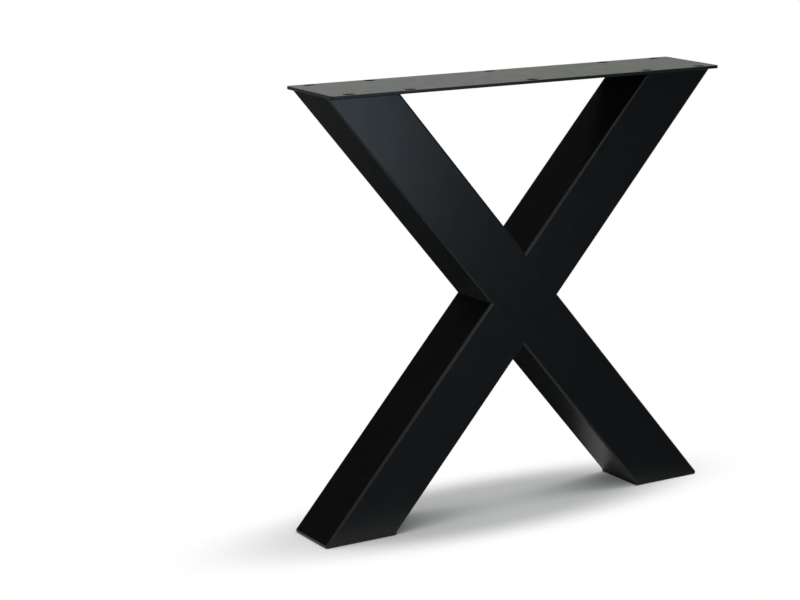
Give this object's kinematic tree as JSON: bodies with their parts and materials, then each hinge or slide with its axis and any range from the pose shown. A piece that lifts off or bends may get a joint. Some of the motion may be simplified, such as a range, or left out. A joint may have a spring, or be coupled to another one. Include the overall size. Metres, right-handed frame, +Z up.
{
  "type": "x-shaped table leg",
  "caption": "X-shaped table leg of crossing square steel tubes welded under a flat slotted plate, which screws to the underside of a table top.",
  "frame": {"origin": "on the floor, midway between the feet and in the middle of the leg's depth", "axes": "+X along the top plate, +Y across the leg from its front to its back, +Z up"},
  "size_m": [0.75, 0.14, 0.72],
  "materials": {
    "powder_coat": "satin black powder coat"
  },
  "bodies": {
    "root": {"top_plate": "powder_coat", "through_tube": "powder_coat", "upper_arm": "powder_coat", "lower_arm": "powder_coat", "left_foot_plate": "powder_coat", "right_foot_plate": "powder_coat", "upper_seam_weld": "powder_coat", "lower_seam_weld": "powder_coat", "left_plate_weld": "powder_coat", "right_plate_weld": "powder_coat"}
  },
  "joints": []
}
